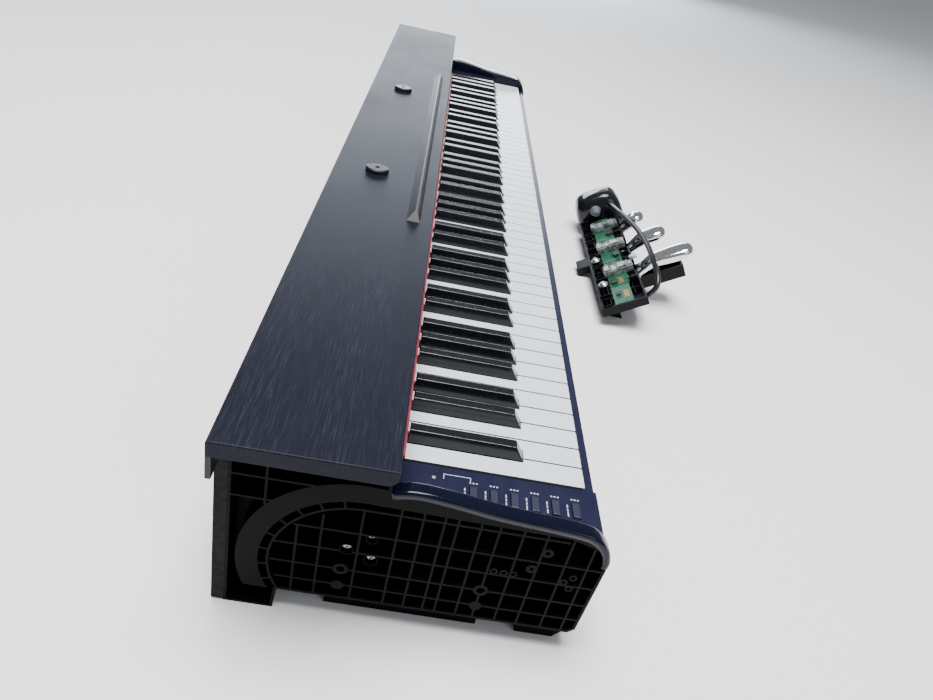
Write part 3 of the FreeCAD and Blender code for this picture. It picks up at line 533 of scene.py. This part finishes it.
def turned(profile, centres, axis="z", steps=28):
    """Points and faces of a profile of (radius, height) turned about an axis at each centre, ends closed."""
    profile = np.asarray(profile, float)
    angle = np.linspace(0, 2 * np.pi, steps, endpoint=False)
    ring = np.stack([np.outer(profile[:, 0], np.cos(angle)), np.outer(profile[:, 0], np.sin(angle)),
                     np.repeat(profile[:, 1:], steps, 1)], -1).reshape(-1, 3)
    if axis == "x":
        ring = ring[:, [2, 0, 1]]
    elif axis == "y":
        ring = ring[:, [1, 2, 0]]
    rows = len(profile)
    quads = grid_quads(rows, steps, closed_columns=True)[:, ::-1]
    caps = [list(range(steps))[::-1], [steps * (rows - 1) + i for i in range(steps)]]
    points = [ring + np.asarray(centre, float) for centre in centres]
    faces = []
    for number in range(len(centres)):
        shift = number * rows * steps
        faces += [[index + shift for index in face] for face in quads.tolist() + caps]
    return np.concatenate(points) * MM, faces


def smooth_line(knots, count):
    """Even points on the Catmull-Rom curve through the knots: each span is a cubic of its four neighbours."""
    knots = np.asarray(knots, float)
    padded = np.vstack([2 * knots[0] - knots[1], knots, 2 * knots[-1] - knots[-2]])
    t = np.linspace(0, len(knots) - 1, count)
    span = np.minimum(t.astype(int), len(knots) - 2)
    s = (t - span)[:, None]
    a, b, c, d = (padded[span + offset] for offset in range(4))
    return 0.5 * (2 * b + (c - a) * s + (2 * a - 5 * b + 4 * c - d) * s ** 2
                  + (3 * b - a - 3 * c + d) * s ** 3)


# ---- case pieces ----------------------------------------------------------------------------

cheek_low, cheek_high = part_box("right_cheek")
PANEL_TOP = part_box("control_panel")[1].z / MM
END_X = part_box("left_end_frame")[0].x / MM
CREASE_X = -653.0
CROWN = ((23.0, 145.2), (4.0, 148.4), (-22.0, 146.0), (-58.0, 140.6), (-115.0, 135.6), (-131.0, 131.0),
         (-141.2, 121.0), (-145.4, 110.0), (-145.7, 104.0))
LIP = 5.0


def cheek_skin(outer, inner, inner_floor, cove, edge):
    """Points of a cheek: at each place on the crown line, a section that climbs the outer lip, rounds over,
    crosses the flat top and goes down the inner wall, leaning out by the cove towards the back."""
    line = smooth_line(CROWN, 72)
    slope = np.gradient(line, axis=0)
    down = np.stack([-slope[:, 1], slope[:, 0]], -1) / np.linalg.norm(slope, axis=1)[:, None]
    side = 1.0 if inner > outer else -1.0
    turn = np.linspace(0, np.pi / 2, 5)
    lip = [(outer, LIP), (outer, edge + 0.4)]
    lip += [(outer + side * edge * (1 - math.cos(a)), edge * (1 - math.sin(a))) for a in turn]
    lip += [(inner - side * edge * (1 - math.sin(a)), edge * (1 - math.cos(a))) for a in turn]
    lip = np.array(lip)
    y = line[:, None, 0] + down[:, None, 0] * lip[None, :, 1]
    z = line[:, None, 1] + down[:, None, 1] * lip[None, :, 1]
    x = np.broadcast_to(lip[None, :, 0], y.shape)
    fall = np.linspace(0, 1, 9)[1:]
    reach = cove * np.clip((line[:, 0] + 45.0) / 68.0, 0, 1) ** 1.4
    floor = np.minimum(inner_floor, z[:, -1])
    wall_z = z[:, -1:] + (floor[:, None] - z[:, -1:]) * fall
    wall_x = inner + side * reach[:, None] * fall ** 1.8
    wall_y = np.broadcast_to(y[:, -1:], wall_z.shape)
    return np.stack([np.hstack([x, wall_x]), np.hstack([y, wall_y]), np.hstack([z, wall_z])], -1)


def add_cheek(name, node, outer, inner, floor, cove, edge):
    points = cheek_skin(outer, inner, floor, cove, edge)
    faces = grid_quads(*points.shape[:2])
    if inner > outer:
        faces = faces[:, ::-1]
    piece = add_piece(name, points * MM, faces, "cheek_gloss", "console", SLOT_OF[node])
    modify(piece, "SOLIDIFY", thickness=1.0 * MM, offset=-1.0)
    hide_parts(node)


def add_panel_marks():
    """Pale dashes beside the buttons, a bracket by the lamp, and none of them lettering."""
    marks = []
    for index in range(6):
        low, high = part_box("button_%d" % (index + 1))
        x0, x1 = low.x / MM + 2.5, high.x / MM - 2.5
        y = (low.y + high.y) / 2 / MM
        for piece, (start, end) in enumerate(((0.0, 0.34), (0.42, 0.62), (0.7, 0.95))):
            marks.append((x0 + (x1 - x0) * start, x0 + (x1 - x0) * end, y + 6.2, y + 7.3))
        for step in range(3):
            marks.append((x1 + 5.0, x1 + 6.4, y - 3.4 + step * 2.6, y - 1.9 + step * 2.6))
    lamp_low, lamp_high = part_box("power_lamp")
    x, y = lamp_high.x / MM + 4.0, lamp_low.y / MM - 6.0
    marks += [(x, x + 0.7, y - 22.0, y), (x - 5.0, x, y - 22.0, y - 21.3), (x - 5.0, x, y - 0.7, y)]
    boxes = [(x0, x1, y0, y1, PANEL_TOP - 0.1, PANEL_TOP + 0.06) for x0, x1, y0, y1 in marks]
    add_blocks("panel_marks", boxes, "mark_paint", "console", "panel_satin", 0.02)


def add_back_screws():
    """Round screw heads with a sunk centre, in two rows along the back panel."""
    low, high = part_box("back_panel")
    xs = np.linspace(low.x / MM + 18, high.x / MM - 18, 9)
    centres = [(x, high.y / MM - 0.9, z) for x in xs for z in (low.z / MM + 12, high.z / MM - 10)]
    profile = ((4.2, 0.0), (4.2, 1.1), (3.6, 1.5), (1.6, 1.5), (1.3, 0.8), (0.2, 0.8))
    add_piece("back_screws", *turned(profile, centres, "y", 20), "steel", "console", "steel")


GRILLE_R = 54.0


def add_speaker_grilles():
    """Bars across each speaker opening and one spine over them."""
    for side in ("left", "right"):
        low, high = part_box(side + "_speaker")
        centre = ((low.x + high.x) / 2 / MM, (low.y + high.y) / 2 / MM)
        base_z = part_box("bottom_panel")[0].z / MM
        boxes = []
        for step in range(-5, 6):
            y = step * 9.5
            half = math.sqrt(GRILLE_R ** 2 - y * y)
            boxes.append((centre[0] - half, centre[0] + half, centre[1] + y - 2.4, centre[1] + y + 2.4,
                          base_z + 0.5, base_z + 2.5))
        boxes.append((centre[0] - 2, centre[0] + 2, centre[1] - GRILLE_R, centre[1] + GRILLE_R,
                      base_z + 2.4, base_z + 4.0))
        add_blocks(side + "_speaker_grille", boxes, "chassis_plastic", "console", "chassis_plastic", 0.5)


class PIANO_OT_case(bpy.types.Operator):
    """Paint the case and add its cheeks, marks, screws and grilles"""
    bl_idname = "piano.case"
    bl_label = "Case"

    def execute(self, context):
        looks = context.scene.piano_case
        for make in CASE_FINISHES:
            make(looks)
        edge = looks.crown_round / MM
        add_cheek("cheek_bass", "left_cheek", END_X - 0.05, CREASE_X, PANEL_TOP + 0.05, looks.cove / MM, edge)
        add_cheek("cheek_treble", "right_cheek", cheek_high.x / MM + 0.05, cheek_low.x / MM, 100.0, 0.0,
                  edge * 1.4)
        add_panel_marks()
        add_back_screws()
        add_speaker_grilles()
        return {"FINISHED"}


class PIANO_OT_keys(bpy.types.Operator):
    """Paint the naturals, the sharps and the felt behind them"""
    bl_idname = "piano.keys"
    bl_label = "Keys"

    def execute(self, context):
        for make in KEY_FINISHES:
            make(context.scene.piano_keys)
        return {"FINISHED"}


# ---- pedal unit pieces -------------------------------------------------------------------------

PEDALS = {"pedal_right": (-32.0, 152.0), "pedal_middle": (46.0, 127.0), "pedal_left": (121.0, 106.0)}
HOOD_X0, HOOD_X1 = 165.0, 232.0
DECK_N = 27.6
BLADE_ROOT_V = 62.0
PIVOT_V, PIVOT_N = 15, 14
TAN_LEAN = math.tan(LEAN)


def add_pedal(name, centre, tip_v, width):
    """Blade of superellipse sections, narrow at the root and widest before its round tip, with the lever
    and the pin that it turns on."""
    s = np.linspace(0, 1, 48)
    swell = 0.62 + 0.38 * np.sin(np.clip(s / 0.75, 0, 1) * np.pi / 2) ** 2
    length = tip_v - BLADE_ROOT_V
    round_from = 1 - 0.55 * width / length
    tip = np.sqrt(np.clip(1 - np.clip((s - round_from) / (1 - round_from), 0, 1) ** 2, 0, 1))
    half_w = width / 2 * swell * np.maximum(tip, 0.03)
    half_n = (6.5 + 3.0 * np.sin(s * np.pi * 0.75)) * np.maximum(tip, 0.05) ** 0.6
    angle = np.linspace(0, 2 * np.pi, 32, endpoint=False)
    across = np.sign(np.cos(angle)) * np.abs(np.cos(angle)) ** 0.72
    upward = np.sign(np.sin(angle)) * np.abs(np.sin(angle)) ** 0.72
    x = centre + half_w[:, None] * across
    v = np.broadcast_to((BLADE_ROOT_V + length * s)[:, None], x.shape)
    rise = 14.0 + 15.0 * np.clip(s * length / 30.0, 0, 1) ** 0.8
    n = rise[:, None] + half_n[:, None] * upward
    rows, columns = x.shape
    faces = grid_quads(rows, columns, closed_columns=True).tolist()
    faces += [list(range(columns)), [columns * (rows - 1) + i for i in range(columns)][::-1]]
    lever = block_points([(centre - 7, centre + 7, 8, 68, 10, 18)])
    pin, pin_faces = turned(((3.0, -16.4), (3.0, 16.4)), [(centre, PIVOT_V, PIVOT_N)], "x", 20)
    points = np.concatenate([np.stack([x, v, n], -1).reshape(-1, 3), lever, pin / MM])
    faces += (BLOCK_FACES + rows * columns).tolist()
    faces += [[index + rows * columns + 8 for index in face] for face in pin_faces]
    faces = [face[::-1] for face in faces]
    piece = add_piece(name + "_blade", lean(points) * MM, faces, "pedal_chrome", name, SLOT_OF[name])
    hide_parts(name)


def add_hood():
    """Hood over the tray's end: superellipse rings stacked upwards, drawing in to a rounded crest, flat
    on the side that meets the tray and cut level with the floor below."""
    n = np.array([0, 14, 28, 38, 46, 53, 58, 61.5, 64, 65.5, 66.0])
    inward = np.array([1, 1, 0.99, 0.96, 0.91, 0.83, 0.73, 0.60, 0.44, 0.24, 0.02])
    angle = np.linspace(0, 2 * np.pi, 64, endpoint=False)
    across = np.sign(np.cos(angle)) * np.abs(np.cos(angle)) ** 0.5
    outward = np.sign(np.sin(angle)) * np.abs(np.sin(angle)) ** 0.62
    half_x = (HOOD_X1 - HOOD_X0) / 2
    x = HOOD_X0 + 0.3 + half_x + half_x * inward[:, None] * across - (1 - inward[:, None]) * 12.0
    v = 40.0 + 40.0 * (inward ** 0.9)[:, None] * outward
    height = np.broadcast_to(n[:, None], x.shape)
    keel_v, keel_x = v[:1] * 0.72, x[:1] * 0.5 + (HOOD_X0 + half_x) * 0.5 + 2.0
    keel = np.stack([keel_x, keel_v, -keel_v * TAN_LEAN], -1)
    points = np.concatenate([keel, np.stack([x, v, height], -1)])
    rows, columns = points.shape[:2]
    faces = grid_quads(rows, columns, closed_columns=True).tolist()
    faces += [list(range(columns)), [columns * (rows - 1) + i for i in range(columns)][::-1]]
    piece = add_piece("pedal_hood", lean(points) * MM, faces, "hood_gloss", "pedal_unit",
                      SLOT_OF["pedal_end_cover"])
    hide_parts("pedal_end_cover")


def add_tray_details():
    """Moulded cells, chips, contact pads, sensor plates and a clip, all standing in the tray."""
    cells = []
    for x0, x1 in ((-124, -104), (-96, -70), (-46, -34), (-28, -8), (-4, 10), (28, 38), (56, 78), (84, 104),
                   (110, 134), (138, 160)):
        cells += [(x0, x1, 3.5, 4.6, 20, 31), (x0, x1, 15.6, 16.8, 20, 30), (x0, x0 + 1.1, 3.5, 16.8, 20, 32),
                  (x1 - 1.1, x1, 3.5, 16.8, 20, 31), (x0, x1, 9.6, 10.5, 20, 27)]
    for x0, x1 in ((-16, -6), (62, 74), (86, 104), (-70, -50), (138, 158)):
        cells += [(x0, x1, 51.0, 52.2, 20, 32), (x0, x1, 61.0, 62.4, 20, 33), (x0, x0 + 1.4, 51, 62, 20, 34),
                  (x1 - 1.4, x1, 51, 62, 20, 33), ((x0 + x1) / 2 - 3, (x0 + x1) / 2 + 3, 54, 60, 20, 31)]
    add_blocks("tray_cells", cells, "housing_plastic", "pedal_unit", "housing_plastic", 0.25, own=True)

    chips = [(-100, -92, 26, 33, DECK_N, 30), (-66, -54, 24, 33, DECK_N, 31), (-16, -4, 26, 34, DECK_N, 30.5),
             (12, 26, 40, 48, DECK_N, 33), (64, 76, 24, 34, DECK_N, 30.5), (90, 102, 40, 49, DECK_N, 32),
             (140, 150, 26, 36, DECK_N, 31)]
    add_blocks("board_chips", chips, "chassis_plastic", "pedal_unit", "chassis_plastic", 0.3, own=True)
    pads = [(x, x + 1.5, 37.0, 44.5, DECK_N - 0.1, DECK_N + 0.15) for x in np.arange(-108.0, -88.0, 2.5)]
    pads += [(x, x + 1.5, 36.0, 42.5, DECK_N - 0.1, DECK_N + 0.15) for x in np.arange(-65.0, -52.0, 2.5)]
    add_blocks("contact_pads", pads, "copper", "pedal_unit", "circuit_board", 0.04, own=True)

    plates, caps = [], []
    for x, _ in PEDALS.values():
        plates += [(x - 10.2, x - 9.0, 18, 61, 28, 37.5), (x + 9.0, x + 10.2, 18, 61, 28, 36),
                   (x - 2.6, x + 2.6, 18.5, 39, 35, 36.4), (x - 8, x + 8, 53, 55, 35, 39)]
        caps += [(x - 8, x + 8, 19, 27, 35, 39.5), (x - 7, x + 7, 29.5, 37, 35, 38),
                 (x - 5, x + 5, 56, 61.5, 35, 38.5)]
    add_blocks("sensor_plates", plates, "sensor_metal", "pedal_unit", "sensor_metal", 0.25, own=True)
    add_blocks("sensor_caps", caps, "sensor_metal", "pedal_unit", "sensor_metal", 0.9, own=True)
    clip = [(-12, -2, 62.5, 72, 30, 33), (-13, -10, 60, 66, 28, 36)]
    add_blocks("wire_clip", clip, "mark_paint", "pedal_unit", "sensor_metal", 0.5, own=True)

    bell = ((9.5, 0.0), (9.5, -2.0), (8.0, -4.5), (6.2, -9.0), (5.4, -15.0), (4.6, -15.6), (2.6, -15.6))
    points, faces = turned(bell, [(HOOD_X0 - 0.5, 34, 44)], "x", 32)
    add_piece("strain_relief", lean(points / MM) * MM, faces, "bell_rubber", "pedal_unit", "cable_jacket")
    washer = ((7.6, 0.0), (7.6, 0.8), (7.0, 1.1), (4.6, 1.1))
    points, faces = turned(washer, [(-59, 12, 29.0), (19, 11, 29.0)])
    add_piece("screw_washers", lean(points / MM) * MM, [face[::-1] for face in faces], "sensor_metal",
              "pedal_unit", "steel")


CABLE_ROUTE = ((0.1650, -0.2843, 0.0725), (0.1260, -0.2882, 0.0796), (0.0880, -0.2958, 0.0844),
               (0.0480, -0.3026, 0.0886), (0.0080, -0.3068, 0.0913), (-0.0320, -0.3085, 0.0923),
               (-0.0700, -0.3087, 0.0901), (-0.1040, -0.3116, 0.0836), (-0.1200, -0.3112, 0.0692),
               (-0.1160, -0.3022, 0.0553))


def add_cable(diameter):
    """Cable bundle from the hood, over the pedals' roots and back into the tray's wall."""
    curve = bpy.data.curves.new("cable_bundle", "CURVE")
    curve.dimensions = "3D"
    spline = curve.splines.new("NURBS")
    spline.points.add(len(CABLE_ROUTE) - 1)
    for point, place in zip(spline.points, CABLE_ROUTE):
        point.co = (*place, 1.0)
    spline.order_u = 3
    spline.use_endpoint_u = True
    spline.resolution_u = 16
    curve.bevel_depth = diameter / 2
    curve.bevel_resolution = 6
    curve.materials.append(finish("cable_jacket"))
    cable = bpy.data.objects.new("cable_bundle", curve)
    bpy.context.scene.collection.objects.link(cable)
    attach(cable, "pedal_unit")
    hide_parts("pedal_cable")


class PIANO_OT_pedals(bpy.types.Operator):
    """Paint the pedal unit and add its blades, hood, tray details and cable"""
    bl_idname = "piano.pedals"
    bl_label = "Pedal unit"

    def execute(self, context):
        looks = context.scene.piano_pedals
        for make in PEDAL_FINISHES:
            make(looks)
        for name, (centre, tip_v) in PEDALS.items():
            add_pedal(name, centre, tip_v, looks.blade_width / MM)
        add_hood()
        add_tray_details()
        add_cable(looks.cable_diameter)
        return {"FINISHED"}


class PIANO_OT_finishes(bpy.types.Operator):
    """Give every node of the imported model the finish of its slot"""
    bl_idname = "piano.finishes"
    bl_label = "Finishes"

    def execute(self, context):
        same = {"cover_satin": "panel_satin"}
        for name, node in frame["nodes"].items():
            slot = SLOT_OF[name]
            node.data.materials.clear()
            node.data.materials.append(finish(same.get(slot, slot)))
        return {"FINISHED"}


# ---- stage -------------------------------------------------------------------------------------


def add_light(name, place, aim, size, power, colour):
    light = bpy.data.lights.new(name, "AREA")
    light.shape = "RECTANGLE"
    light.size, light.size_y = size
    light.energy = power
    light.color = colour
    lamp = bpy.data.objects.new(name, light)
    turn = (Vector(place) - Vector(aim)).to_track_quat("Z", "Y")
    lamp.matrix_world = Matrix.Translation(place) @ turn.to_matrix().to_4x4()
    bpy.context.scene.collection.objects.link(lamp)


def view_axes(heading, fall, roll):
    """Right, up and back axes of a camera that looks along heading and fall, then leans by roll."""
    forward = Vector((math.cos(fall) * math.cos(heading), math.cos(fall) * math.sin(heading),
                      -math.sin(fall)))
    level = forward.cross(Vector((0, 0, 1))).normalized()
    upright = level.cross(forward)
    right = level * math.cos(roll) + upright * math.sin(roll)
    up = upright * math.cos(roll) - level * math.sin(roll)
    return Matrix((right, up, -forward)).transposed()


class PIANO_OT_stage(bpy.types.Operator):
    """Add the floor, the soft lights and the camera"""
    bl_idname = "piano.stage"
    bl_label = "Stage"

    def execute(self, context):
        looks = context.scene.piano_stage
        scene = context.scene
        floor_paint(looks)
        size = 30.0
        corners = [(-size, -size, 0), (size, -size, 0), (size, size, 0), (-size, size, 0)]
        mesh = bpy.data.meshes.new("floor")
        mesh.from_pydata(corners, [], [(0, 1, 2, 3)])
        mesh.materials.append(finish("floor_paint"))
        floor = bpy.data.objects.new("floor", mesh)
        scene.collection.objects.link(floor)

        add_light("window", (4.4, 0.4, 1.0), (0.2, 0, 0.1), (3.2, 1.3), 110.0, (0.84, 0.92, 1.0))
        add_light("overhead", (-0.5, 0.2, 3.2), (0, 0, 0), (1.8, 1.8), 260.0, (1.0, 0.99, 0.97))
        add_light("front_fill", (-2.6, -2.2, 1.8), (-0.5, 0, 0.1), (2.0, 1.4), 22.0, (0.95, 0.97, 1.0))
        world = bpy.data.worlds.new("studio")
        world.use_nodes = True
        sky = world.node_tree.nodes["Background"]
        sky.inputs["Color"].default_value = (0.90, 0.94, 1.0, 1.0)
        sky.inputs["Strength"].default_value = 0.30
        scene.world = world

        camera = bpy.data.cameras.new("camera")
        camera.sensor_width = 36.0
        camera.lens = looks.lens
        camera.shift_x = 0.0158
        camera.shift_y = -0.0087
        camera.clip_start = 0.02
        eye = bpy.data.objects.new("camera", camera)
        axes = view_axes(looks.heading, looks.fall, looks.roll)
        eye.matrix_world = Matrix.Translation(looks.eye) @ axes.to_4x4()
        scene.collection.objects.link(eye)
        scene.camera = eye
        return {"FINISHED"}


class PIANO_PT_panel(bpy.types.Panel):
    """Lists the piano's operators and their settings"""
    bl_idname = "PIANO_PT_panel"
    bl_label = "Piano"
    bl_space_type = "VIEW_3D"
    bl_region_type = "UI"
    bl_category = "Piano"

    def draw(self, context):
        for operator, group in STEPS:
            self.layout.operator(operator)
            if group:
                settings = getattr(context.scene, group)
                for name in settings.bl_rna.properties.keys():
                    if name not in ("rna_type", "name"):
                        self.layout.prop(settings, name)


STEPS = (("piano.case", "piano_case"), ("piano.keys", "piano_keys"), ("piano.pedals", "piano_pedals"),
         ("piano.finishes", None), ("piano.stage", "piano_stage"))
GROUPS = {"piano_case": PianoCaseLooks, "piano_keys": PianoKeyLooks, "piano_pedals": PianoPedalLooks,
          "piano_stage": PianoStageLooks}
CLASSES = (*GROUPS.values(), PIANO_OT_case, PIANO_OT_keys, PIANO_OT_pedals, PIANO_OT_finishes, PIANO_OT_stage,
           PIANO_PT_panel)


def register():
    for kind in CLASSES:
        bpy.utils.register_class(kind)
    for name, group in GROUPS.items():
        setattr(bpy.types.Scene, name, PointerProperty(type=group))


def unregister():
    for name in GROUPS:
        delattr(bpy.types.Scene, name)
    for kind in reversed(CLASSES):
        bpy.utils.unregister_class(kind)


def main():
    register()
    for operator, _ in STEPS:
        area, name = operator.split(".")
        getattr(getattr(bpy.ops, area), name)()


if __name__ == "__main__":
    main()
